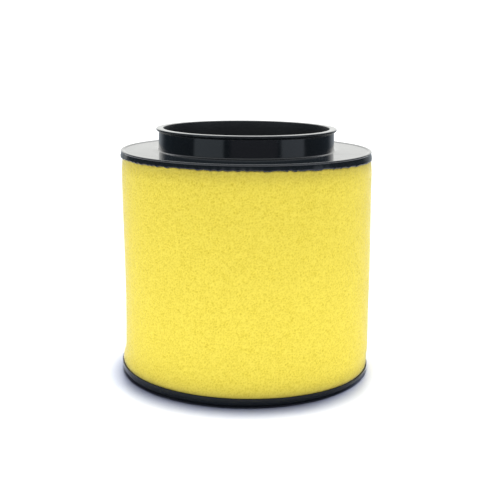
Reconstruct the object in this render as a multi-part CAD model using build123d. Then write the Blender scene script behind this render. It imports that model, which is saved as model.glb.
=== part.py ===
"""Round two-stage air filter element: a yellow foam wrap over a pleated paper core, held between two black caps.

Millimetres. +Z is the element's own axis, from the closed cap at z = 0 up to the open neck.
The origin is the centre of the closed cap's underside.
"""

from build123d import *
from math import atan2, cos, pi, radians, sin, tan
import os

# ---- driving dimensions -------------------------------------------------------------------------
OVERALL_H = 123.4  # underside of the closed cap to the top of the neck's lip
TOP_FLANGE_R = 62.5  # top cap, outside
BOTTOM_CAP_R = 64.4  # closed cap, outside of its rim
NECK_BORE_R = 41.3  # slides over the air box's outlet tube
NECK_H = 10.5  # lip's top above the bead round the top plate
PLATE_T = 3.0  # top plate, at its edge
BOTTOM_RIM_H = 4.8  # closed cap's rim, which the foam sits inside
PAPER_T = 0.56  # resin-treated filter paper
PLEATS = 72
SCREEN_T = 0.6  # expanded steel outside the pleats
CORE_T = 0.7  # expanded steel tube inside the pleats

# ---- the neck and its lip -----------------------------------------------------------------------
NECK_WALL_TOP_R = 43.6  # under the lip
NECK_WALL_BASE_R = 43.9  # at the plate; the difference is the mould's draft
LIP_R = 44.9  # bead that keeps the band clamp on
LIP_FACE_H = 0.9  # upright face of the bead
LIP_H = 1.9  # with the slope under it
LIP_TOP_ROUND = 0.35
LIP_UNDER_ROUND = 0.5
MOUTH_ROUND = 0.4
NECK_BASE_FILLET = 0.5

# ---- top plate ----------------------------------------------------------------------------------
PLATE_DISH = 0.35  # the plate lies this far below the bead round its edge
EDGE_BEAD_R = 61.3  # inside of the bead's flat top
EDGE_BEAD_SLOPE = 0.9  # width of the slope down to the plate
FLANGE_EDGE_ROUND = 0.6

# ---- heights ------------------------------------------------------------------------------------
PLATE_TOP_Z = OVERALL_H - NECK_H
ROOF_Z = PLATE_TOP_Z - PLATE_T  # underside of the top plate
LEDGE_T = 2.3  # shelf at the foot of the neck, which stops the outlet tube
LEDGE_TOP_Z = ROOF_Z + LEDGE_T
FLOOR_T = 2.0  # wall of the closed cap
PANEL_RISE = 0.8  # closed cap's panel stands this far clear of the surface
FLOOR_Z = PANEL_RISE + FLOOR_T  # inside face of the closed cap

# ---- potting channels, one in each cap ----------------------------------------------------------
CHANNEL_DEPTH = 5.5
CHANNEL_WALL_T = 1.2
INNER_WALL_R = 35.8  # inside of the channel's inner wall
OUTER_WALL_R = 52.4  # outside of the channel's outer wall
POTTING_FILL = 4.5
EMBED_GAP = 1.2  # between the ends of the potted pieces and the cap

# ---- closed cap ---------------------------------------------------------------------------------
RIM_WALL_T = 1.3
RIM_TOP_ROUND = 0.5
FOOT_ROUND = 1.0
FOOT_INNER_R = 53.0  # inside of the ring that the element stands on
DIMPLE_R = 14.0  # locating recess in the middle
DIMPLE_DEPTH = 2.0

# ---- filter layers ------------------------------------------------------------------------------
CORE_R = 37.2  # inside of the steel core
FOLD_R = 0.5  # the paper's folds, at the middle of its thickness
PLEAT_INNER_R = CORE_R + CORE_T + 0.25  # innermost point of the paper
SCREEN_OUTER_R = 51.0
BAND_T = 0.6  # hot-melt bands round the pleats
BAND_W = 2.4
PLEAT_OUTER_R = SCREEN_OUTER_R - SCREEN_T - BAND_T - 0.1
FOAM_TOP_R = 62.6  # under the top plate
FOAM_WAIST_R, FOAM_WAIST_Z = 63.1, 26.0
FOAM_SWELL_R, FOAM_SWELL_Z = 63.8, 7.5  # the soft foam bulges over the closed cap's rim
FOAM_SEAT_R = 63.0  # inside that rim
FOAM_BOND_T = 0.5  # adhesive under each end of the foam
SEAM_W = 0.6  # glued butt joint down the foam

# ---- expanded steel -----------------------------------------------------------------------------
SCREEN_HOLES_ROUND = 32
SCREEN_HOLE_ROWS = 15
STRAND = 1.5  # steel left between neighbouring holes
PLAIN_END = 3.0  # steel left plain beyond each potting
LOCK_SEAM_W = 6.0
LOCK_SEAM_T = 0.6
BACK = 90.0  # every joint is at the back, at +Y


def turned(outline):
    """Solid of revolution about Z of a closed outline of (radius, height) points."""
    return revolve(make_face(Plane.XZ * Polyline(*outline, close=True)), Axis.Z)


def ring(inner_r, outer_r, low_z, high_z):
    """Plain tube."""
    return turned([(inner_r, low_z), (outer_r, low_z), (outer_r, high_z), (inner_r, high_z)])


def circles_at(solid, radius, z):
    """The circular edges of that radius and height."""
    return [
        edge
        for edge in solid.edges().filter_by(GeomType.CIRCLE)
        if abs(edge.radius - radius) < 0.01 and abs(edge.center(CenterOf.BOUNDING_BOX).Z - z) < 0.01
    ]


def channel_walls_r():
    """Inside radii of the potting channel: the inner wall's outside and the outer wall's inside."""
    return INNER_WALL_R + CHANNEL_WALL_T, OUTER_WALL_R - CHANNEL_WALL_T


def top_end_cap():
    """Moulded cap: flange, neck with its lip, and the potting channel underneath."""
    channel_inner_r, channel_outer_r = channel_walls_r()
    channel_z = ROOF_Z - CHANNEL_DEPTH
    lip_face_z = OVERALL_H - LIP_FACE_H
    plate_z = PLATE_TOP_Z - PLATE_DISH
    cap = turned(
        [
            (INNER_WALL_R, channel_z),
            (channel_inner_r, channel_z),
            (channel_inner_r, ROOF_Z),
            (channel_outer_r, ROOF_Z),
            (channel_outer_r, channel_z),
            (OUTER_WALL_R, channel_z),
            (OUTER_WALL_R, ROOF_Z),
            (TOP_FLANGE_R, ROOF_Z),
            (TOP_FLANGE_R, PLATE_TOP_Z),
            (EDGE_BEAD_R, PLATE_TOP_Z),
            (EDGE_BEAD_R - EDGE_BEAD_SLOPE, plate_z),
            (NECK_WALL_BASE_R, plate_z),
            (NECK_WALL_TOP_R, OVERALL_H - LIP_H),
            (LIP_R, lip_face_z),
            (LIP_R, OVERALL_H),
            (NECK_BORE_R, OVERALL_H),
            (NECK_BORE_R, LEDGE_TOP_Z),
            (INNER_WALL_R, LEDGE_TOP_Z),
        ]
    )
    cap = fillet(circles_at(cap, LIP_R, OVERALL_H), LIP_TOP_ROUND)
    cap = fillet(circles_at(cap, LIP_R, lip_face_z), LIP_UNDER_ROUND)
    cap = fillet(circles_at(cap, NECK_BORE_R, OVERALL_H), MOUTH_ROUND)
    cap = fillet(circles_at(cap, NECK_WALL_BASE_R, plate_z), NECK_BASE_FILLET)
    return fillet(circles_at(cap, TOP_FLANGE_R, PLATE_TOP_Z), FLANGE_EDGE_ROUND)


def bottom_end_cap():
    """Moulded closed cap: rim round the foam, potting channel, foot ring and locating dimple."""
    channel_inner_r, channel_outer_r = channel_walls_r()
    channel_z = FLOOR_Z + CHANNEL_DEPTH
    dimple_z = PANEL_RISE + DIMPLE_DEPTH
    cap = turned(
        [
            (0, dimple_z),
            (DIMPLE_R, dimple_z),
            (DIMPLE_R, PANEL_RISE),
            (FOOT_INNER_R, PANEL_RISE),
            (FOOT_INNER_R, 0),
            (BOTTOM_CAP_R, 0),
            (BOTTOM_CAP_R, BOTTOM_RIM_H),
            (BOTTOM_CAP_R - RIM_WALL_T, BOTTOM_RIM_H),
            (BOTTOM_CAP_R - RIM_WALL_T, FLOOR_Z),
            (OUTER_WALL_R, FLOOR_Z),
            (OUTER_WALL_R, channel_z),
            (channel_outer_r, channel_z),
            (channel_outer_r, FLOOR_Z),
            (channel_inner_r, FLOOR_Z),
            (channel_inner_r, channel_z),
            (INNER_WALL_R, channel_z),
            (INNER_WALL_R, FLOOR_Z),
            (DIMPLE_R + FLOOR_T, FLOOR_Z),
            (DIMPLE_R + FLOOR_T, dimple_z + FLOOR_T),
            (0, dimple_z + FLOOR_T),
        ]
    )
    cap = fillet(circles_at(cap, BOTTOM_CAP_R, 0), FOOT_ROUND)
    cap = fillet(circles_at(cap, BOTTOM_CAP_R, BOTTOM_RIM_H), RIM_TOP_ROUND)
    return fillet(circles_at(cap, DIMPLE_R + FLOOR_T, dimple_z + FLOOR_T), FOOT_ROUND)


def foam_seam_glue():
    """Glue line of the foam's butt joint: a thin wall through the foam at the back."""
    slot = Pos(0, TOP_FLANGE_R, OVERALL_H / 2) * Box(SEAM_W, TOP_FLANGE_R, OVERALL_H)
    return foam_ring() & slot


def foam_ring():
    """The foam's full ring: it fits the screen, and is relieved over the caps' channel walls."""
    low_z = FLOOR_Z + FOAM_BOND_T
    high_z = ROOF_Z - FOAM_BOND_T
    clear = 0.3
    low_step_z = FLOOR_Z + CHANNEL_DEPTH + clear
    high_step_z = ROOF_Z - CHANNEL_DEPTH - clear
    return turned(
        [
            (OUTER_WALL_R, low_z),
            (FOAM_SEAT_R, low_z),
            (FOAM_SEAT_R, BOTTOM_RIM_H),
            (FOAM_SWELL_R, FOAM_SWELL_Z),
            (FOAM_WAIST_R, FOAM_WAIST_Z),
            (FOAM_TOP_R, high_z),
            (OUTER_WALL_R, high_z),
            (OUTER_WALL_R, high_step_z),
            (SCREEN_OUTER_R, high_step_z),
            (SCREEN_OUTER_R, low_step_z),
            (OUTER_WALL_R, low_step_z),
        ]
    )


def foam_wrap():
    """Sheet of open-cell foam rolled into a sleeve, open at its glued joint."""
    return foam_ring() - foam_seam_glue()


def foam_bonds():
    """Adhesive rings between the foam's ends and the caps."""
    low = ring(OUTER_WALL_R, BOTTOM_CAP_R - RIM_WALL_T, FLOOR_Z, FLOOR_Z + FOAM_BOND_T)
    high = ring(OUTER_WALL_R, FOAM_TOP_R, ROOF_Z - FOAM_BOND_T, ROOF_Z)
    return {"foam_bond_bottom": low, "foam_bond_top": high}


def sharp_folds():
    """Radii of the zigzag's sharp corners whose rounded folds reach the pleat radii, and its two half angles."""
    outer_fold = PLEAT_OUTER_R - PAPER_T / 2
    inner_fold = PLEAT_INNER_R + PAPER_T / 2
    half_pitch = pi / PLEATS
    outer_r, inner_r = outer_fold, inner_fold
    for _ in range(40):
        run = outer_r - inner_r * cos(half_pitch)
        outer_half = atan2(inner_r * sin(half_pitch), run)
        inner_half = outer_half + half_pitch
        outer_r = outer_fold + FOLD_R * (1 / sin(outer_half) - 1)
        inner_r = inner_fold - FOLD_R * (1 / sin(inner_half) - 1)
    return outer_r, inner_r, outer_half, inner_half


def zigzag(offset):
    """Closed outline of the pleats, moved outwards by offset from the middle of the paper."""
    outer_r, inner_r, outer_half, inner_half = sharp_folds()
    outer_r += offset / sin(outer_half)
    inner_r += offset / sin(inner_half)
    points, radii = [], []
    for pleat in range(PLEATS):
        for step, radius, fold in ((0, outer_r, FOLD_R + offset), (0.5, inner_r, FOLD_R - offset)):
            angle = radians(BACK) + 2 * pi * (pleat + step) / PLEATS
            points.append((radius * cos(angle), radius * sin(angle)))
            radii.append(fold)
    return FilletPolyline(*points, radius=radii, close=True)


def potted_heights():
    """Bottom and top of the pieces whose ends are potted."""
    return FLOOR_Z + EMBED_GAP, ROOF_Z - EMBED_GAP


def pleated_paper():
    """Paper folded into pleats and closed into a star, standing between the two pottings."""
    low_z, high_z = potted_heights()
    section = make_face(zigzag(PAPER_T / 2)) - make_face(zigzag(-PAPER_T / 2))
    return Pos(0, 0, low_z) * extrude(section, high_z - low_z)


def fold_area(offset, depth):
    """Area inside the fold at the back, moved outwards by offset and cut off square at depth."""
    crown_r = FOLD_R + offset
    centre_y = PLEAT_OUTER_R - PAPER_T / 2 - FOLD_R
    outer_half = sharp_folds()[2]
    tangent_x = crown_r * cos(outer_half)
    tangent_y = centre_y + crown_r * sin(outer_half)
    foot_y = centre_y - depth
    foot_x = tangent_x + (tangent_y - foot_y) * tan(outer_half)
    flanks = Polyline((-tangent_x, tangent_y), (-foot_x, foot_y), (foot_x, foot_y), (tangent_x, tangent_y))
    crown = ThreePointArc((-tangent_x, tangent_y), (0, centre_y + crown_r), (tangent_x, tangent_y))
    return make_face(flanks + crown)


def pleat_seam_clip():
    """Crimped steel strip over the outer fold where the paper's two ends meet."""
    clip_t, clip_depth, clip_gap = 0.35, 5.0, 12.0
    low_z, high_z = FLOOR_Z + clip_gap, ROOF_Z - clip_gap
    strip = fold_area(PAPER_T / 2 + clip_t, clip_depth) - fold_area(PAPER_T / 2, clip_depth)
    return Pos(0, 0, low_z) * extrude(strip, high_z - low_z)


def pleat_bands():
    """Three hot-melt bands round the pleats' outer folds, open where the seam clip passes."""
    inner_r = PLEAT_OUTER_R
    opening = Pos(0, inner_r, 0) * Box(3.2, 8.0, 2 * OVERALL_H)
    middle_z = (FLOOR_Z + ROOF_Z) / 2
    spread = 26.0
    bands = {}
    for name, z in (("lower", middle_z - spread), ("middle", middle_z), ("upper", middle_z + spread)):
        band = ring(inner_r, inner_r + BAND_T, z - BAND_W / 2, z + BAND_W / 2)
        bands[f"pleat_band_{name}"] = band - opening
    return bands


def outer_screen():
    """Expanded steel sheet rolled round the pleats: staggered diamond openings, plain ends and a plain back."""
    low_z, high_z = potted_heights()
    open_low = FLOOR_Z + CHANNEL_DEPTH + PLAIN_END
    open_high = ROOF_Z - CHANNEL_DEPTH - PLAIN_END
    tube = ring(SCREEN_OUTER_R - SCREEN_T, SCREEN_OUTER_R, low_z, high_z)
    middle_r = SCREEN_OUTER_R - SCREEN_T / 2
    pitch = 2 * pi * middle_r / SCREEN_HOLES_ROUND
    row_gap = (open_high - open_low) / (SCREEN_HOLE_ROWS + 1)
    half_wide, half_high = (pitch - STRAND) / 2, row_gap - STRAND / 2
    diamond = make_face(
        Plane.YZ * Polyline((half_wide, 0), (0, half_high), (-half_wide, 0), (0, -half_high), close=True)
    )
    cutter = Pos(middle_r - 2, 0, 0) * extrude(diamond, 4, dir=(1, 0, 0))
    holes = []
    for row in range(SCREEN_HOLE_ROWS):
        z = open_low + row_gap * (row + 1)
        for column in range(1, SCREEN_HOLES_ROUND - row % 2):
            angle = BACK + 360 * (column + 0.5 * (row % 2)) / SCREEN_HOLES_ROUND
            holes.append(Rot(0, 0, angle) * Pos(0, 0, z) * cutter)
    return tube - holes


def inner_core():
    """Tube of expanded steel inside the pleats, with its folded lock seam and without its small openings."""
    low_z, high_z = potted_heights()
    tube = ring(CORE_R, CORE_R + CORE_T, low_z, high_z)
    seam_low_z, seam_high_z = FLOOR_Z + CHANNEL_DEPTH + 0.5, ROOF_Z - CHANNEL_DEPTH - 0.5
    seam = ring(CORE_R - LOCK_SEAM_T, CORE_R + CORE_T / 2, seam_low_z, seam_high_z)
    strip = Pos(0, CORE_R, OVERALL_H / 2) * Box(LOCK_SEAM_W, 10, OVERALL_H)
    return tube + (seam & strip)


def pottings(embedded):
    """Cast adhesive in each cap's channel, with the ends of the embedded pieces set in it."""
    inner_r, outer_r = channel_walls_r()
    low = ring(inner_r, outer_r, FLOOR_Z, FLOOR_Z + POTTING_FILL)
    high = ring(inner_r, outer_r, ROOF_Z - POTTING_FILL, ROOF_Z)
    for piece in embedded:
        low -= piece
        high -= piece
    return {"potting_bottom": low, "potting_top": high}


def main():
    parts = {
        "top_end_cap": top_end_cap(),
        "bottom_end_cap": bottom_end_cap(),
        "foam_wrap": foam_wrap(),
        "foam_seam_glue": foam_seam_glue(),
        **foam_bonds(),
        "outer_screen": outer_screen(),
        "pleated_paper": pleated_paper(),
        "pleat_seam_clip": pleat_seam_clip(),
        **pleat_bands(),
        "inner_core": inner_core(),
    }
    embedded = [parts["pleated_paper"], parts["inner_core"], parts["outer_screen"]]
    parts.update(pottings(embedded))
    os.makedirs("parts", exist_ok=True)
    for name, shape in parts.items():
        export_step(shape, f"parts/{name}.step")


main()
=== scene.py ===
import math

import bpy
import numpy as np
from mathutils import Matrix, Vector


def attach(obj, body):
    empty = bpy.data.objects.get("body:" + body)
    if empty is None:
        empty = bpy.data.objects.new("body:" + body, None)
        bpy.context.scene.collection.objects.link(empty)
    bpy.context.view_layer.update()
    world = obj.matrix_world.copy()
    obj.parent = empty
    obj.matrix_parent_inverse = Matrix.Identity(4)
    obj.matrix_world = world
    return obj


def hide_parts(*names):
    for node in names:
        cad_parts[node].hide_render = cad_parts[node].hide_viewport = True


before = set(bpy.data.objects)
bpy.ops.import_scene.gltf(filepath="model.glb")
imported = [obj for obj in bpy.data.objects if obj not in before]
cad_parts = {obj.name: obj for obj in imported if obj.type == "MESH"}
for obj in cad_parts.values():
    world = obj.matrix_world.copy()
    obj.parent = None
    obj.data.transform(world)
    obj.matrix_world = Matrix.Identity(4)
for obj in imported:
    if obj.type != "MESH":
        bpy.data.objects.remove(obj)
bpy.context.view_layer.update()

# ---- Camera ----------------------------------------------------------------------------------------
# A short telephoto lens stands in front of the element, a little above the lip of its neck, and looks
# down at it. It is panned and rolled by a fraction of a degree, as a camera on a tripod is.

MM = 0.001
camera_back = 459.2 * MM
camera_height = 164.2 * MM
camera_tilt = math.radians(12.70)
camera_pan = math.radians(0.28)
camera_roll = math.radians(0.48)

camera_data = bpy.data.cameras.new("camera")
camera_data.sensor_width = 36.0
camera_data.lens = 65.88
camera = bpy.data.objects.new("camera", camera_data)
level_right = Vector((math.cos(camera_pan), -math.sin(camera_pan), 0.0))
level_ahead = Vector((math.sin(camera_pan), math.cos(camera_pan), 0.0))
ahead = level_ahead * math.cos(camera_tilt) - Vector((0, 0, 1)) * math.sin(camera_tilt)
above = level_right.cross(ahead)
right = level_right * math.cos(camera_roll) + above * math.sin(camera_roll)
above = right.cross(ahead)
camera.matrix_world = Matrix.Translation((0, -camera_back, camera_height)) @ Matrix(
    (right, above, -ahead)
).transposed().to_4x4()
bpy.context.collection.objects.link(camera)
bpy.context.scene.camera = camera
bpy.context.scene.view_settings.view_transform = "Standard"


# ---- Studio floor and light ------------------------------------------------------------------------
# The element stands on a round white table in front of a white sweep. A small soft lamp right above it
# lights the table, and the table lights the foam. Panels in front of it show in the gloss of the neck.

def linear(code):
    """An sRGB hex colour as linear red, green, blue and 1."""
    parts = np.array([int(code[i:i + 2], 16) for i in (1, 3, 5)]) / 255
    return tuple(np.where(parts <= 0.04045, parts / 12.92, ((parts + 0.055) / 1.055) ** 2.4)) + (1.0,)


def add(tree, kind, inputs=None, **settings):
    """Adds one shader node. inputs maps its sockets to a value or to the output that feeds them."""
    made = tree.nodes.new("ShaderNode" + kind)
    for name, value in settings.items():
        setattr(made, name, value)
    for socket, value in (inputs or {}).items():
        if isinstance(value, bpy.types.NodeSocket):
            tree.links.new(value, made.inputs[socket])
        else:
            made.inputs[socket].default_value = value
    return made


def quads_on(grid, round_first, round_second, mirrored=False):
    """Quads between neighbours in a grid of point numbers, along its last two axes.

    A quad goes from its first point to the next along the first axis, the one diagonally across and
    the next along the second axis, or the other way round if mirrored. An axis that is round joins
    its last points to its first.
    """
    along = np.roll(grid, -1, -2)
    across = np.roll(grid, -1, -1)
    diagonal = np.roll(along, -1, -1)
    quads = np.stack([grid, across, diagonal, along] if mirrored else [grid, along, diagonal, across], -1)
    if not round_first:
        quads = quads[..., :-1, :, :]
    if not round_second:
        quads = quads[..., :-1, :]
    return quads.reshape(-1, 4)


def turned_surface(name, profile, steps, relief=None):
    """A profile of (radius, height) points carried once round Z, as a closed surface of quads.

    Point (i, j) is at angle a_i = 2 pi i / steps and at profile point j, which closes on itself, so
    x = r_j cos a_i, y = r_j sin a_i, z = h_j. relief takes the three grids and returns them moved.
    A profile that starts and ends on the axis closes there in one point at each end.
    """
    on_axis = profile[0][0] == 0
    ring = np.array(profile[1:-1] if on_axis else profile, float)
    angle = np.linspace(0, 2 * np.pi, steps, endpoint=False)
    radius = np.broadcast_to(ring[:, 0], (steps, len(ring)))
    height = np.broadcast_to(ring[:, 1], (steps, len(ring)))
    turn = np.broadcast_to(angle[:, None], radius.shape)
    if relief is not None:
        radius, height = relief(turn, radius, height)
    points = np.stack([radius * np.cos(turn), radius * np.sin(turn), height], -1).reshape(-1, 3)
    faces = quads_on(np.arange(len(points)).reshape(steps, -1), True, not on_axis).tolist()
    if on_axis:
        first, last = len(points), len(points) + 1
        points = np.vstack([points, [0, 0, profile[0][1]], [0, 0, profile[-1][1]]])
        around = np.arange(steps)
        beyond = (around + 1) % steps
        faces += np.stack([np.full(steps, first), beyond * len(ring), around * len(ring)], -1).tolist()
        end = len(ring) - 1
        faces += np.stack(
            [np.full(steps, last), around * len(ring) + end, beyond * len(ring) + end], -1
        ).tolist()
    return mesh_object(name, points * MM, faces)


def mesh_object(name, points, faces):
    """An object at the origin whose smooth-shaded mesh has these points, in metres, and faces."""
    mesh = bpy.data.meshes.new(name)
    mesh.from_pydata(points.tolist(), [], faces)
    mesh.shade_smooth()
    made = bpy.data.objects.new(name, mesh)
    bpy.context.collection.objects.link(made)
    return made


table_reach = 520.0  # mm
table_radii = np.append(np.linspace(20, table_reach - 1, 40), table_reach - 0.1)  # sharp at its edge
table_profile = [(0, 0)] + [(r, 0) for r in table_radii] + [(table_reach, -0.2), (table_reach, -4), (0, -4)]
floor = turned_surface("floor", table_profile, 96)


def new_material(name):
    """A material, its node tree, its Principled shader and the Object coordinates that its patterns use."""
    material = bpy.data.materials.new(name)
    material.use_nodes = True
    tree = material.node_tree
    return material, tree, tree.nodes["Principled BSDF"], add(tree, "TexCoord").outputs["Object"]


def white_acrylic():
    """A white acrylic sheet, smooth but not polished, with a painted bluish shadow where the element is
    close.

    The painted shadow is a choice of look. It is strongest at the front, a little to the left: occlusion is
    scaled by 0.3 + 0.95 times the cosine of the angle from there, and by no less than 0 and no more
    than 1.
    """
    material, tree, face, where = new_material("white_acrylic_sheet")
    outwards = add(tree, "VectorMath", {0: where}, operation="NORMALIZE").outputs[0]
    front_left = add(tree, "VectorMath", {0: outwards, 1: (-0.3, -0.954, 0)}, operation="DOT_PRODUCT")
    share = add(tree, "Math", {0: front_left.outputs["Value"], 1: 0.95, 2: 0.3}, operation="MULTIPLY_ADD",
                use_clamp=True)
    closed_in = add(tree, "AmbientOcclusion", {"Distance": 26 * MM}, samples=12)
    hidden = add(tree, "Math", {0: 1.0, 1: closed_in.outputs["AO"]}, operation="SUBTRACT")
    shade = add(tree, "Math", {0: hidden.outputs[0], 1: share.outputs[0]}, operation="MULTIPLY")
    # Painted shadow: the occlusion darkens the floor's colour through this ramp, to bluish grey at the
    # element.
    colour = add(tree, "ValToRGB", {"Fac": shade.outputs[0]})
    ramp = colour.color_ramp
    ramp.elements[0].position, ramp.elements[0].color = 0.06, linear("#F4F6FA")
    ramp.elements[1].position, ramp.elements[1].color = 0.50, linear("#5A5D6C")
    for position, code in ((0.23, "#D6DDF4"), (0.36, "#A2A9C4")):
        ramp.elements.new(position).color = linear(code)
    tree.links.new(colour.outputs["Color"], face.inputs["Base Color"])
    face.inputs["Roughness"].default_value = 0.35
    face.inputs["IOR"].default_value = 1.49
    return material


floor.data.materials.append(white_acrylic())

overhead = bpy.data.lights.new("overhead_soft_lamp", "AREA")
overhead.shape = "DISK"
overhead.size = 0.26
overhead.energy = 14.6
overhead_lamp = bpy.data.objects.new("overhead_soft_lamp", overhead)
overhead_lamp.location = (0.0, 0.02, 0.95)
overhead_lamp.visible_glossy = False
bpy.context.collection.objects.link(overhead_lamp)


def band(tree, value, low, high, soft):
    """A smooth window on value: 0 below low, 1 between low and high, 0 above, over soft at each edge."""
    rise = add(tree, "MapRange", {"Value": value, "From Min": low - soft, "From Max": low + soft},
               interpolation_type="SMOOTHSTEP")
    fall = add(tree, "MapRange", {"Value": value, "From Min": high - soft, "From Max": high + soft,
                                  "To Min": 1.0, "To Max": 0.0}, interpolation_type="SMOOTHSTEP")
    return add(tree, "Math", {0: rise.outputs[0], 1: fall.outputs[0]}, operation="MULTIPLY").outputs[0]


room = bpy.data.worlds.new("studio")
room.use_nodes = True
bpy.context.scene.world = room
sky = room.node_tree
sky.nodes.clear()
# A bearing is 0 towards the camera and grows towards +X. The height of a direction is the Z of its unit
# vector. band needs an upper end even where a window has none, which is 400 degrees or a height of 4.
looking = add(sky, "TexCoord").outputs["Generated"]
sides = add(sky, "SeparateXYZ", {0: looking})
towards_camera = add(sky, "Math", {0: sides.outputs["Y"], 1: -1.0}, operation="MULTIPLY").outputs[0]
bearing = add(sky, "Math", {0: sides.outputs["X"], 1: towards_camera}, operation="ARCTAN2").outputs[0]
bearing_size = add(sky, "Math", {0: bearing}, operation="ABSOLUTE").outputs[0]
sweep = band(sky, bearing_size, math.radians(140), math.radians(400), math.radians(12))
far_sweep = band(sky, bearing_size, math.radians(100), math.radians(400), math.radians(25))
left_panel = band(sky, bearing, math.radians(-70), math.radians(-29), math.radians(2))
right_panel = band(sky, bearing, math.radians(45), math.radians(79), math.radians(2))
middle_panel = band(sky, bearing, math.radians(-20), math.radians(40), math.radians(3))
panel_height = band(sky, sides.outputs["Z"], -4.0, 0.20, 0.02)
above_table = band(sky, sides.outputs["Z"], 0.0, 4.0, 0.02)
low_ring = band(sky, sides.outputs["Z"], 0.0, 0.24, 0.02)
ceiling = band(sky, sides.outputs["Z"], 0.42, 4.0, 0.10)
sweep_above = add(sky, "Math", {0: sweep, 1: above_table}, operation="MULTIPLY").outputs[0]
left_panel, middle_panel, right_panel = (
    add(sky, "Math", {0: panel, 1: panel_height}, operation="MULTIPLY").outputs[0]
    for panel in (left_panel, middle_panel, right_panel)
)


def summed(parts, total):
    """A background in the colour total plus each part's colour times its window."""
    for window, colour in parts:
        scaled = add(sky, "VectorMath", {0: colour, "Scale": window}, operation="SCALE").outputs[0]
        total = add(sky, "VectorMath", {0: total, 1: scaled}, operation="ADD").outputs[0]
    return add(sky, "Background", {"Color": total, "Strength": 1.0}).outputs[0]


# Glossy surfaces see the sweep, the panels and the ceiling. Matt ones see the far side of the sweep and
# a ring of light just above the table, and the camera sees plain white. All of it is a choice of look.
in_the_gloss = summed(
    [(sweep, (0.34, 0.36, 0.38)), (sweep_above, (0.90, 0.87, 0.80)), (left_panel, (0.55, 0.62, 0.68)),
     (right_panel, (0.60, 0.66, 0.74)), (middle_panel, (0.14, 0.12, 0.14)), (ceiling, (1.12, 1.15, 1.18))],
    (0.05, 0.07, 0.09),
)
on_the_matt = summed([(far_sweep, (0.30, 0.31, 0.36)), (low_ring, (2.2, 2.2, 2.2))], (0.09, 0.095, 0.13))
plain_white = add(sky, "Background", {"Color": (1, 1, 1, 1), "Strength": 1.38}).outputs[0]
rays = add(sky, "LightPath")
room_light = add(sky, "MixShader", {0: rays.outputs["Is Glossy Ray"], 1: on_the_matt, 2: in_the_gloss})
seen = add(sky, "MixShader", {0: rays.outputs["Is Camera Ray"], 1: room_light.outputs[0], 2: plain_white})
add(sky, "OutputWorld", {"Surface": seen.outputs[0]})


# ---- Closed end cap --------------------------------------------------------------------------------
# The bottom of the element is one moulding of black polyurethane, poured into a polished cup mould
# with the filter standing in it. Its edge is well rounded below, and its rim stands up round the foam.

def rounded(corners, steps=6):
    """An outline through (radius, height, rounding) corners, with an arc of that radius at each.

    The arc's points are found from the corner's two directions: its centre lies on their bisector at
    rounding / sin(half angle), and it leaves each side at rounding / tan(half angle) from the corner.
    A rounding of 0 keeps the corner sharp.
    """
    outline = []
    for k, (r, z, rounding) in enumerate(corners):
        corner = np.array([r, z], float)
        if rounding == 0:
            outline.append((r, z))
            continue
        back = np.array(corners[k - 1][:2], float) - corner
        on = np.array(corners[(k + 1) % len(corners)][:2], float) - corner
        back /= np.linalg.norm(back)
        on /= np.linalg.norm(on)
        half = math.acos(np.clip(back @ on, -1, 1)) / 2
        bisector = (back + on) / np.linalg.norm(back + on)
        centre = corner + bisector * rounding / math.sin(half)
        start = corner + back * rounding / math.tan(half) - centre
        end = corner + on * rounding / math.tan(half) - centre
        first = math.atan2(start[1], start[0])
        sweep_angle = (math.atan2(end[1], end[0]) - first + math.pi) % (2 * math.pi) - math.pi
        for t in np.linspace(0, 1, steps + 1):
            a = first + sweep_angle * t
            outline.append(tuple(centre + rounding * np.array([math.cos(a), math.sin(a)])))
    return outline


def divided(outline, longest):
    """The same outline, closed, with each side cut into equal lengths no longer than longest."""
    points = []
    for k, start in enumerate(outline):
        end = np.array(outline[(k + 1) % len(outline)], float)
        start = np.array(start, float)
        count = max(1, math.ceil(np.linalg.norm(end - start) / longest))
        points += [tuple(start + (end - start) * i / count) for i in range(count)]
    return points


def askew(turn):
    """1 towards +X, falling smoothly to 0 at the far side: ((1 + cos angle) / 2) to the power 3.5.

    The black polyurethane stands lower round the foam on that side, as if it was potted a little askew.
    """
    return ((1 + np.cos(turn)) / 2) ** 3.5


def rim_height(turn):
    """Height of the closed cap's rim, where the foam comes out of it."""
    return 4.8 - 1.9 * askew(turn)


# Radii of the two walls that hold the potting in each cap, in mm, outside first.
outer_wall = 52.4, 51.2
inner_wall = 37.0, 35.8


def bottom_cap():
    """The closed cap, from its dimple on the axis outwards under the foot and back over the inside."""
    panel, floor_inside, foot_inner, dimple = 0.8, 2.8, 53.0, 14
    outside, rim_inside, rim_top = 63.8, 63.0, 4.8
    channel_top = floor_inside + 5.5

    def uneven(turn, radius, height):
        """Lowers the rim's top to rim_height: by the whole difference there, and by none at the foot."""
        share = np.where(radius > 60, np.clip((height - 1.2) / (rim_top - 1.2), 0, 1), 0)
        return radius, height - share * (rim_top - rim_height(turn))

    corners = [
        (0, 2.8, 0),
        (dimple, 2.8, 0.5),
        (dimple, panel, 0.4),
        (foot_inner, panel, 0.3),
        (foot_inner, 0, 0.4),
        (outside, 0, 2.8),
        (outside, rim_top, 0.3),
        (rim_inside, rim_top, 0.25),
        (rim_inside, floor_inside, 0.3),
        (outer_wall[0], floor_inside, 0.2),
        (outer_wall[0], channel_top, 0.3),
        (outer_wall[1], channel_top, 0.3),
        (outer_wall[1], floor_inside, 0.2),
        (inner_wall[0], floor_inside, 0.2),
        (inner_wall[0], channel_top, 0.3),
        (inner_wall[1], channel_top, 0.3),
        (inner_wall[1], floor_inside, 0.4),
        (16, floor_inside, 0.4),
        (16, 4.8, 1.0),
        (0, 4.8, 0),
    ]
    outline = divided(rounded(corners), 3.0)[:-1] + [(0, 4.8)]
    return turned_surface("bottom_end_cap_moulding", outline, 480, uneven)


closed_cap = bottom_cap()
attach(closed_cap, "root")
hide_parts("bottom_end_cap")


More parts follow.
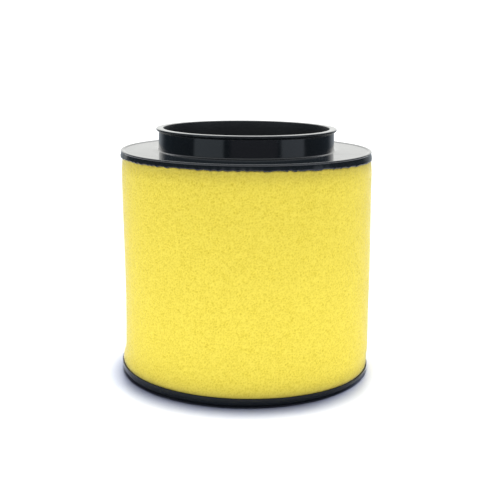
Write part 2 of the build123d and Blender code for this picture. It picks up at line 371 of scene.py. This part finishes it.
def moulded_polyurethane(name, ripple_mm, dull, bore_dull=0.0, ior=1.5):
    """Glossy black moulded polyurethane: near-black, low roughness, with faint sink ripples.

    It gives the eye a dark mirror that turns white where it is seen at a low angle. Nearer to the axis
    than about 41.5 mm its roughness is at least bore_dull, so that the neck's bore can look duller.
    """
    material, tree, face, where = new_material(name)
    ripples = add(tree, "TexNoise", {"Vector": where, "Scale": 1 / (9 * MM), "Detail": 2.0})
    grain = add(tree, "TexNoise", {"Vector": where, "Scale": 1 / (0.9 * MM), "Detail": 3.0})
    rise = add(tree, "Bump", {"Height": ripples.outputs["Fac"], "Strength": 1.0,
                              "Distance": ripple_mm * MM})
    fine = add(tree, "Bump", {"Height": grain.outputs["Fac"], "Strength": 1.0, "Distance": 0.004 * MM,
                              "Normal": rise.outputs["Normal"]})
    handled = add(tree, "TexNoise", {"Vector": where, "Scale": 1 / (14 * MM), "Detail": 4.0,
                                     "Roughness": 0.6})
    polish = add(tree, "MapRange", {"Value": handled.outputs["Fac"], "From Min": 0.35, "From Max": 0.75,
                                    "To Min": dull, "To Max": dull + 0.10})
    across = add(tree, "VectorMath", {0: where, 1: (1, 1, 0)}, operation="MULTIPLY")
    out_from_axis = add(tree, "VectorMath", {0: across.outputs[0]}, operation="LENGTH").outputs["Value"]
    in_the_bore = add(tree, "MapRange", {"Value": out_from_axis, "From Min": 41.4 * MM,
                                         "From Max": 41.7 * MM, "To Min": bore_dull, "To Max": 0.0})
    rough = add(tree, "Math", {0: polish.outputs[0], 1: in_the_bore.outputs[0]}, operation="MAXIMUM")
    tree.links.new(fine.outputs["Normal"], face.inputs["Normal"])
    tree.links.new(rough.outputs[0], face.inputs["Roughness"])
    face.inputs["Base Color"].default_value = linear("#14181B")
    face.inputs["IOR"].default_value = ior
    return material


# Its index is lower than the open cap's, chosen so that its rim stays dark on a white floor.
closed_cap.data.materials.append(
    moulded_polyurethane("moulded_polyurethane_black", ripple_mm=0.02, dull=0.10, ior=1.3)
)


# ---- Foam wrap -------------------------------------------------------------------------------------
# The yellow sleeve is a sheet of open-cell polyurethane foam, cut to length, wrapped round the screen
# and glued edge to edge at the back. Its skin is the cut face of the foam, so every cell is open.

def smooth_step(x, low, high):
    """0 below low, 1 above high, and 3t^2 - 2t^3 between."""
    t = np.clip((x - low) / (high - low), 0, 1)
    return t * t * (3 - 2 * t)


def cells(around, up, spacing, whole_round, seed):
    """Open cells on a sheet: one centre in each square of a grid, moved by up to half the square.

    Returns how much further the second nearest centre is than the nearest, in spacings, which is 0
    on the walls between cells, and a random number from 0 to 1 that belongs to the nearest cell. The
    pattern closes on itself after whole_round millimetres.
    """
    columns = round(whole_round / spacing)
    rows = int(np.ptp(up) / spacing) + 6
    rng = np.random.default_rng(seed)
    shift = rng.uniform(-0.5, 0.5, (columns, rows, 2))
    own = rng.random((columns, rows))
    x = around * columns / whole_round
    y = (up - up.min()) / spacing + 2
    column, row = np.floor(x).astype(int), np.floor(y).astype(int)
    nearest = np.full(x.shape, 9.0)
    second = np.full(x.shape, 9.0)
    belongs = np.zeros(x.shape)
    for step_x in (-1, 0, 1):
        for step_y in (-1, 0, 1):
            c, r = column + step_x, row + step_y
            wrapped = c % columns
            away = np.hypot(c + 0.5 + shift[wrapped, r, 0] - x, r + 0.5 + shift[wrapped, r, 1] - y)
            closer = away < nearest
            second = np.where(closer, nearest, np.minimum(second, away))
            belongs = np.where(closer, own[wrapped, r], belongs)
            nearest = np.where(closer, away, nearest)
    return second - nearest, belongs


def drift(turn, up, seed, waves=9):
    """Slow unevenness: sine waves round the sleeve and up it, mostly within 1 of 0 and at most about 2."""
    rng = np.random.default_rng(seed)
    total = np.zeros(np.broadcast(turn, up).shape)
    for _ in range(waves):
        count, rise = rng.integers(1, 9), rng.uniform(-0.09, 0.09)
        total += np.sin(count * turn + rise * up + rng.uniform(0, 2 * np.pi)) / math.sqrt(waves)
    return total


def skirt_edge(turn):
    """Height of the lower edge of the top cap's side, where the liquid polyurethane stopped.

    It is edge, less 1.5 askew(angle) and 0.55 askew(angle + pi), less teeth of up to tooth. The teeth
    are random heights 1.1 mm apart, as if the polyurethane soaked into some of the foam's cells and
    not into others.
    """
    edge, tooth, teeth_round = 110.3, 0.7, 358
    heights = np.random.default_rng(21).random(teeth_round) ** 1.6
    around = (np.asarray(turn) % (2 * np.pi)) / (2 * np.pi) * teeth_round
    teeth = np.interp(around, np.arange(teeth_round + 1), np.append(heights, heights[0]))
    return edge - 1.5 * askew(turn) - 0.55 * askew(turn + np.pi) - tooth * teeth


def foam_sleeve():
    """The sleeve as a rolled sheet, carried from one glued edge round to the other.

    Outside radius is body(z) + lean(z) cos(angle) + shift(z) sin(angle), where body swells over the
    closed cap's rim, lean is how far the soft sleeve sits towards +X and shift how far towards +Y.
    It pinches in to the top cap's edge and goes inside it, and it sinks along both glued edges. The
    open cells are pressed in along the radius. end_shade is painted shade: how olive the foam is painted
    near both caps, which is a choice of look. It falls to 1/e in end_shade_reach_top below the top cap's
    edge and in end_shade_reach_foot above the rim.
    """
    low, high, middle = 3.4, 109.85, 63
    waist, below_waist, foot, swell, seat = 62.60, 0.05, 0.32, 0.45, 62.95
    lean_top, lean_more, lean_back = 0.33, 0.68, 0.35
    pore, pore_depth, finer = 1.15, 0.28, 0.62
    seam_depth, seam_width, half_gap = 0.5, 1.3, 0.35 / middle
    # end_shade_top and end_shade_foot are how much painted olive shade the foam gets at each end.
    end_shade_top, end_shade_reach_top, end_shade_foot, end_shade_reach_foot = 0.72, 3.0, 0.80, 2.6
    columns, rows = 1000, 266
    turn = np.linspace(np.pi / 2 + half_gap, np.pi / 2 + 2 * np.pi - half_gap, columns)[:, None]
    up = np.linspace(low, high, rows)[None, :]
    whole_round = 2 * np.pi * middle
    height = up + 0 * turn
    border, own = cells(turn * middle, height, pore, whole_round, 11)
    fine_border, fine_own = cells(turn * middle, height, finer * pore, whole_round, 12)
    open_cell = smooth_step(border, 0.05, 0.42) * (0.45 + 0.55 * own)
    fine_cell = smooth_step(fine_border, 0.05, 0.5) * fine_own
    depth = 0.78 * open_cell + 0.30 * fine_cell
    over_rim = up - rim_height(turn)
    under_edge = skirt_edge(turn) - up
    body = (
        waist
        + below_waist * (1 - smooth_step(up, 55, 100))
        + foot * (1 - smooth_step(up, 10, 34))
        + swell * (1 - smooth_step(over_rim, 1.5, 7)) * smooth_step(over_rim, -0.6, 1.6)
    )
    seated = 1 - smooth_step(over_rim, -0.4, 0.3)
    pinch = 0.45 * (1 - smooth_step(under_edge, 0.2, 7)) + 0.9 * (1 - smooth_step(under_edge, -0.4, 0.3))
    lean = (lean_top + lean_more * (1 - smooth_step(up, 48, 104))) * smooth_step(up, 4, 14)
    shift = lean_back * smooth_step(up, 40, 104)
    outside = body + lean * np.cos(turn) + shift * np.sin(turn) - pinch + 0.08 * drift(turn, up, 5)
    outside = outside * (1 - seated) + seat * seated
    from_seam = np.minimum(turn - turn[0], turn[-1] - turn) * middle
    outside = outside - seam_depth * (1 - smooth_step(from_seam, 0, seam_width)) ** 2
    outside = outside - pore_depth * depth * (1 - seated)
    # Painted shade: olive in the foam's colour, strongest right under the top cap and right over the rim.
    end_shade = end_shade_top * np.exp(-np.maximum(under_edge, 0) / end_shade_reach_top)
    end_shade = end_shade + end_shade_foot * np.exp(-np.maximum(over_rim, 0) / end_shade_reach_foot)
    return turn, outside, height, {"pore": depth, "end_shade": end_shade}


def rolled_sheet(name, turn, radius, height, attributes):
    """Closes the outer skin over both ends and down the bore, and shuts the two glued edges."""
    inner, edge, middle, low, high = 51.1, 1.3, 57.5, 3.35, 109.85
    above_foot, below_top = 8.6, 104.1
    columns = len(turn)
    ones = np.ones((columns, 1))
    behind = [(60.0, high), (56.0, high), (inner + edge, high), (inner + edge, below_top),
              (inner, below_top), (inner, 80.0), (inner, 55.0), (inner, 30.0), (inner, above_foot),
              (inner + edge, above_foot), (inner + edge, low), (56.0, low), (60.0, low)]
    back_radius = np.array([p[0] for p in behind]) * ones
    back_height = np.array([p[1] for p in behind]) * ones
    radius = np.hstack([radius, back_radius])
    height = np.hstack([height, back_height])
    around = radius.shape[1]
    points = np.stack([radius * np.cos(turn), radius * np.sin(turn), height], -1).reshape(-1, 3)
    faces = quads_on(np.arange(len(points)).reshape(columns, around), False, True).tolist()
    for column, order in ((0, 1), (columns - 1, -1)):
        loop = column * around + np.arange(around)
        centre = points[loop].mean(0)
        centre[:2] *= middle / np.hypot(*centre[:2])
        points = np.vstack([points, centre])
        hub = np.full(around, len(points) - 1)
        following = np.roll(loop, -1)
        pair = (loop, following) if order > 0 else (following, loop)
        faces += np.stack([hub, *pair], -1).tolist()
    made = mesh_object(name, points * MM, faces)
    for attribute, outer_grid in attributes.items():
        values = np.zeros(len(points), np.float32)
        grid = np.zeros((columns, around), np.float32)
        grid[:, :outer_grid.shape[1]] = outer_grid
        values[:grid.size] = grid.ravel()
        made.data.attributes.new(attribute, "FLOAT", "POINT").data.foreach_set("value", values)
    return made


foam = rolled_sheet("foam_wrap_sleeve", *foam_sleeve())
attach(foam, "root")
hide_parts("foam_wrap")


def open_cell_foam():
    """Open-cell polyurethane foam: matt, soft edged, and darker inside each open cell, as painted shade.

    The yellow turns to olive by the amount in the attribute end_shade, which is painted shade near both
    caps.
    """
    material, tree, face, where = new_material("open_cell_foam_yellow")
    depth = add(tree, "Attribute", attribute_name="pore").outputs["Fac"]
    tangle = add(tree, "TexNoise", {"Vector": where, "Scale": 1 / (0.9 * MM), "Detail": 3.0,
                                    "Roughness": 0.65})
    mottle = add(tree, "MapRange", {"Value": tangle.outputs["Fac"], "From Min": 0.3, "From Max": 0.72,
                                    "To Min": -0.45, "To Max": 0.5})
    # Painted shade: the colour darkens towards #DEC634 with the cells' depth; the mottle from the noise is
    # random tone.
    shaded = add(tree, "Math", {0: depth, 1: 0.75, 2: mottle.outputs[0]}, operation="MULTIPLY_ADD")
    colour = add(tree, "ValToRGB", {"Fac": shaded.outputs[0]})
    ramp = colour.color_ramp
    ramp.elements[0].position, ramp.elements[0].color = 0.0, linear("#FCE85A")
    ramp.elements[1].position, ramp.elements[1].color = 1.0, linear("#DEC634")
    strands = add(tree, "TexNoise", {"Vector": where, "Scale": 1 / (0.45 * MM), "Detail": 2.0})
    rise = add(tree, "Bump", {"Height": strands.outputs["Fac"], "Strength": 0.6, "Distance": 0.12 * MM})
    end_shade = add(tree, "Attribute", attribute_name="end_shade").outputs["Fac"]
    # Painted shade: the olive #B3A24C is mixed into the colour by end_shade near both caps.
    end_shaded = add(tree, "MixRGB", {"Fac": end_shade, "Color1": colour.outputs["Color"], "Color2": linear("#B3A24C")})
    tree.links.new(end_shaded.outputs["Color"], face.inputs["Base Color"])
    tree.links.new(rise.outputs["Normal"], face.inputs["Normal"])
    face.inputs["Roughness"].default_value = 0.9
    face.inputs["Specular IOR Level"].default_value = 0.2
    face.inputs["Sheen Weight"].default_value = 1.0
    face.inputs["Sheen Roughness"].default_value = 0.3
    face.inputs["Sheen Tint"].default_value = linear("#FFFBE0")
    return material


foam.data.materials.append(open_cell_foam())


# ---- Top end cap -----------------------------------------------------------------------------------
# The other end is a ring of the same black polyurethane, with the neck and its rolled lip moulded in
# one with it. A small raised bead runs round the edge of its flange.

def top_cap():
    """The flange and the neck, from the ledge up the bore, over the lip, out to the edge and back below.

    The side of the flange has a shallow groove under its top edge and widens below it, and a thin
    skirt hangs under it, which uneven stretches down to skirt_edge(angle).
    """
    top, plate, roof = 123.4, 112.9, 109.9
    bore, lip, ledge = 41.3, 44.9, roof + 2.3
    channel = roof - 5.5
    skirt = roof - 0.15
    corners = [
        (bore, top, 0.4),
        (lip, top, 0.35),
        (lip, top - 0.9, 0.5),
        (43.6, top - 1.9, 0.3),
        (43.9, plate - 0.35, 0.9),
        (60.4, plate - 0.35, 1.2),
        (61.3, plate, 0.5),
        (62.55, plate, 0.4),
        (62.25, plate - 0.9, 0.4),
        (62.7, roof + 0.4, 0.3),
        (62.65, skirt, 0.25),
        (62.0, skirt, 0.25),
        (61.8, roof, 0),
        (outer_wall[0], roof, 0),
        (outer_wall[0], channel, 0),
        (outer_wall[1], channel, 0),
        (outer_wall[1], roof, 0),
        (inner_wall[0], roof, 0),
        (inner_wall[0], channel, 0),
        (inner_wall[1], channel, 0.4),
        (inner_wall[1], ledge, 0.5),
        (bore, ledge, 0.4),
    ]

    def uneven(turn, radius, height):
        """Moves the skirt's lower edge to skirt_edge, and what is above it in proportion up to roof + 1."""
        share = np.where(radius > 61.9, np.clip((roof + 1 - height) / (roof + 1 - skirt), 0, 1), 0)
        return radius, height + share * (skirt_edge(turn) - skirt)

    outline = divided(rounded(corners, steps=5)[::-1], 4.0)
    return turned_surface("top_end_cap_moulding", outline, 720, uneven)


open_cap = top_cap()
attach(open_cap, "root")
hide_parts("top_end_cap")
open_cap.data.materials.append(
    moulded_polyurethane("moulded_polyurethane_black_rubbed_bore", ripple_mm=0.02, dull=0.07,
                         bore_dull=0.45)
)


# ---- Core ------------------------------------------------------------------------------------------
# A tube of expanded galvanised steel holds the pleats open from the inside. It is rolled from sheet
# that was slit and stretched, its edges are folded together at the back, and both ends are potted.

def expanded_tube(diamonds=24, ribbons=36, steps=8):
    """Zigzag ribbons round the axis, each in the opposite phase to the next, so that they meet in diamonds.

    Ribbon k is at height low + strand / 2 + pitch (k + 1/2) + (-1)^k reach tri(diamonds angle), where
    tri is a triangle wave between -1 and 1. Its section is strand by thick, leaning outwards by tilt.
    """
    low, high, middle = 4.0, 108.7, 37.55
    strand, thick, tilt = 1.1, 0.6, math.radians(20)
    pitch = (high - low - strand) / ribbons
    reach = pitch / 2 - 0.25 * strand
    phase = np.arange(diamonds * steps) / steps
    angle = np.pi / 2 + 2 * np.pi * phase / diamonds
    wave = np.abs((phase % 1) * 4 - 2) - 1
    k = np.arange(ribbons)[:, None]
    centre = low + strand / 2 + pitch * (k + 0.5) + np.where(k % 2, -1, 1) * reach * wave
    across = np.array([-1, 1, 1, -1]) * strand / 2
    through = np.array([-1, -1, 1, 1]) * thick / 2
    radius = middle + through * math.cos(tilt) + across * math.sin(tilt)
    height = centre[:, :, None] + across * math.cos(tilt) - through * math.sin(tilt)
    radius = np.broadcast_to(radius, height.shape)
    turn = angle[None, :, None]
    points = np.stack([radius * np.cos(turn), radius * np.sin(turn), height], -1).reshape(-1, 3)
    grid = np.arange(len(points)).reshape(ribbons, len(angle), len(across))
    return points, quads_on(grid, True, True, mirrored=True)


def folded_strip(width, inside, outside, low, high, steps, relief=None):
    """An upright strip across the back: a rounded section of (x, y) points carried from low to high.

    relief takes the grids of x, y and height and returns x and y moved. Both ends are closed.
    """
    half, middle = width / 2, (inside + outside) / 2
    fold = (outside - inside) / 2
    turn = np.linspace(-np.pi / 2, np.pi / 2, 7)
    right_side = np.stack([half - fold + fold * np.cos(turn), middle + fold * np.sin(turn)], -1)
    section = np.vstack([right_side, right_side[::-1] * (-1, 1)])
    count = len(section)
    x = np.broadcast_to(section[:, 0], (steps, count))
    y = np.broadcast_to(section[:, 1], (steps, count))
    z = np.broadcast_to(np.linspace(low, high, steps)[:, None], (steps, count))
    if relief is not None:
        x, y = relief(x, y, z)
    points = np.stack([x, y, z], -1).reshape(-1, 3)
    grid = np.arange(len(points)).reshape(steps, count)
    ends = [grid[0, ::-1].tolist(), grid[-1].tolist()]
    return points, quads_on(grid, False, True, mirrored=True).tolist() + ends


def expanded_core():
    """The expanded tube and the folded seam over its two edges, as one mesh."""
    mesh_points, mesh_quads = expanded_tube()
    seam_points, seam_faces = folded_strip(
        width=6.0, inside=36.6, outside=37.3, low=8.8, high=103.9, steps=24
    )
    shifted = [[index + len(mesh_points) for index in face] for face in seam_faces]
    made = mesh_object("inner_core_expanded_steel", np.vstack([mesh_points, seam_points]) * MM,
                       mesh_quads.tolist() + shifted)
    made.data.set_sharp_from_angle(angle=math.radians(40))
    return made


core = expanded_core()
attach(core, "root")
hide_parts("inner_core")


def galvanised_steel():
    """Galvanised steel: a dull grey metal whose zinc spangles differ a little in shade and gloss."""
    material, tree, face, where = new_material("galvanised_expanded_steel")
    spangle = add(tree, "TexVoronoi", {"Vector": where, "Scale": 1 / (2.2 * MM)})
    shade = add(tree, "ValToRGB", {"Fac": spangle.outputs["Color"]})
    shade.color_ramp.elements[0].position, shade.color_ramp.elements[0].color = 0.1, linear("#B9BDBF")
    shade.color_ramp.elements[1].position, shade.color_ramp.elements[1].color = 0.9, linear("#E0E2E2")
    dust = add(tree, "TexNoise", {"Vector": where, "Scale": 1 / (6 * MM), "Detail": 5.0})
    rough = add(tree, "MapRange", {"Value": dust.outputs["Fac"], "To Min": 0.30, "To Max": 0.60})
    grain = add(tree, "TexNoise", {"Vector": where, "Scale": 1 / (0.25 * MM), "Detail": 2.0})
    rise = add(tree, "Bump", {"Height": grain.outputs["Fac"], "Strength": 0.4, "Distance": 0.02 * MM})
    tree.links.new(shade.outputs["Color"], face.inputs["Base Color"])
    tree.links.new(rough.outputs[0], face.inputs["Roughness"])
    tree.links.new(rise.outputs["Normal"], face.inputs["Normal"])
    face.inputs["Metallic"].default_value = 1.0
    return material


galvanised = galvanised_steel()
core.data.materials.append(galvanised)


# ---- Pleats and screen -----------------------------------------------------------------------------
# The filter medium is resin-treated paper in 72 pleats, shut by a crimped tinplate strip at the back.
# Three bands of hot-melt space the pleats, and an expanded steel screen keeps the foam off them.

def finish(material, *nodes):
    """Gives CAD nodes this material in their objects' own slots, so that their meshes stay as they are."""
    for node in nodes:
        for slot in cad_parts[node].material_slots:
            slot.link = "OBJECT"
            slot.material = material


def speckled(name, dark, light, grain_mm, stretch, rough, relief_mm, metallic=0.0):
    """A matt or satin solid: dark and light mixed by noise, with bump and roughness from the same noise.

    grain_mm is the size of the noise, and stretch says how much longer it is along Z, such as paper
    fibres or the lines of a rolled strip.
    """
    material, tree, face, where = new_material(name)
    drawn_out = add(tree, "VectorMath", {0: where, 1: (1, 1, 1 / stretch)}, operation="MULTIPLY").outputs[0]
    grain = add(tree, "TexNoise", {"Vector": drawn_out, "Scale": 1 / (grain_mm * MM), "Detail": 4.0,
                                   "Roughness": 0.6})
    shade = add(tree, "ValToRGB", {"Fac": grain.outputs["Fac"]})
    shade.color_ramp.elements[0].position, shade.color_ramp.elements[0].color = 0.35, linear(dark)
    shade.color_ramp.elements[1].position, shade.color_ramp.elements[1].color = 0.65, linear(light)
    gloss = add(tree, "MapRange", {"Value": grain.outputs["Fac"], "From Min": 0.3, "From Max": 0.7,
                                   "To Min": rough - 0.06, "To Max": rough + 0.06})
    rise = add(tree, "Bump", {"Height": grain.outputs["Fac"], "Strength": 1.0, "Distance": relief_mm * MM})
    tree.links.new(shade.outputs["Color"], face.inputs["Base Color"])
    tree.links.new(gloss.outputs[0], face.inputs["Roughness"])
    tree.links.new(rise.outputs["Normal"], face.inputs["Normal"])
    face.inputs["Metallic"].default_value = metallic
    return material


# Cream paper with long fibres, rough enough to have no highlight at all.
finish(
    speckled("resin_treated_filter_paper", "#E3D6B2", "#F4EAD0",
             grain_mm=0.35, stretch=4, rough=0.88, relief_mm=0.05),
    "pleated_paper",
)
# Rolled tinplate, with the fine lines of the rolling along the strip.
finish(
    speckled("crimped_tinplate", "#B4B6B6", "#D6D8D8",
             grain_mm=0.20, stretch=12, rough=0.30, relief_mm=0.01, metallic=1.0),
    "pleat_seam_clip",
)
# Cream hot-melt, satin, with slow swellings where the bead was laid.
finish(
    speckled("hot_melt_adhesive_cream", "#E2D6AE", "#F0E7C8",
             grain_mm=2.0, stretch=1, rough=0.34, relief_mm=0.08),
    "pleat_band_lower", "pleat_band_middle", "pleat_band_upper",
)
finish(galvanised, "outer_screen")


# ---- Potting and glue ------------------------------------------------------------------------------
# Both ends of the paper and the steel stand in black polyurethane cast into the caps' channels. Amber
# contact adhesive holds the foam to the caps and shuts its joint. Some of it is squeezed out.

finish(moulded_polyurethane("cast_polyurethane_potting", ripple_mm=0.10, dull=0.16),
       "potting_bottom", "potting_top")

# Dried contact adhesive: a dull amber skin, lumpy at the size of the brush.
amber_glue = speckled(
    "contact_adhesive_amber", "#6E5A1E", "#9A8233", grain_mm=0.8, stretch=1, rough=0.42, relief_mm=0.10
)
finish(amber_glue, "foam_bond_bottom")


def squeezed_out(turn, radius, height):
    """Moves the glue ring's outer edge in and out by 0.2 mm times drift."""
    return radius + np.where(radius > 60, 0.2 * drift(turn, height, 31), 0), height


bond_section = [(52.6, 109.42), (61.3, 109.42), (61.45, 109.6), (61.3, 109.86), (52.6, 109.86)]
top_bond = turned_surface("foam_bond_top_ring", divided(bond_section, 4.0)[::-1], 240, squeezed_out)
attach(top_bond, "root")
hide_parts("foam_bond_top")
top_bond.data.materials.append(amber_glue)


def uneven_bead(x, y, z):
    """Widens the glue line by 0.1 of itself and moves its outer face by 0.12 mm, each times drift."""
    swell = drift(0 * z, 8 * z, 32)
    return x * (1 + 0.1 * swell), y + np.where(y > 57, 0.12 * drift(0 * z, 9 * z, 33), 0)


bead_points, bead_faces = folded_strip(
    width=0.9, inside=52.0, outside=61.8, low=3.5, high=109.3, steps=260, relief=uneven_bead
)
seam_bead = mesh_object("foam_seam_glue_bead", bead_points * MM, bead_faces)
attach(seam_bead, "root")
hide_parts("foam_seam_glue")
seam_bead.data.materials.append(amber_glue)
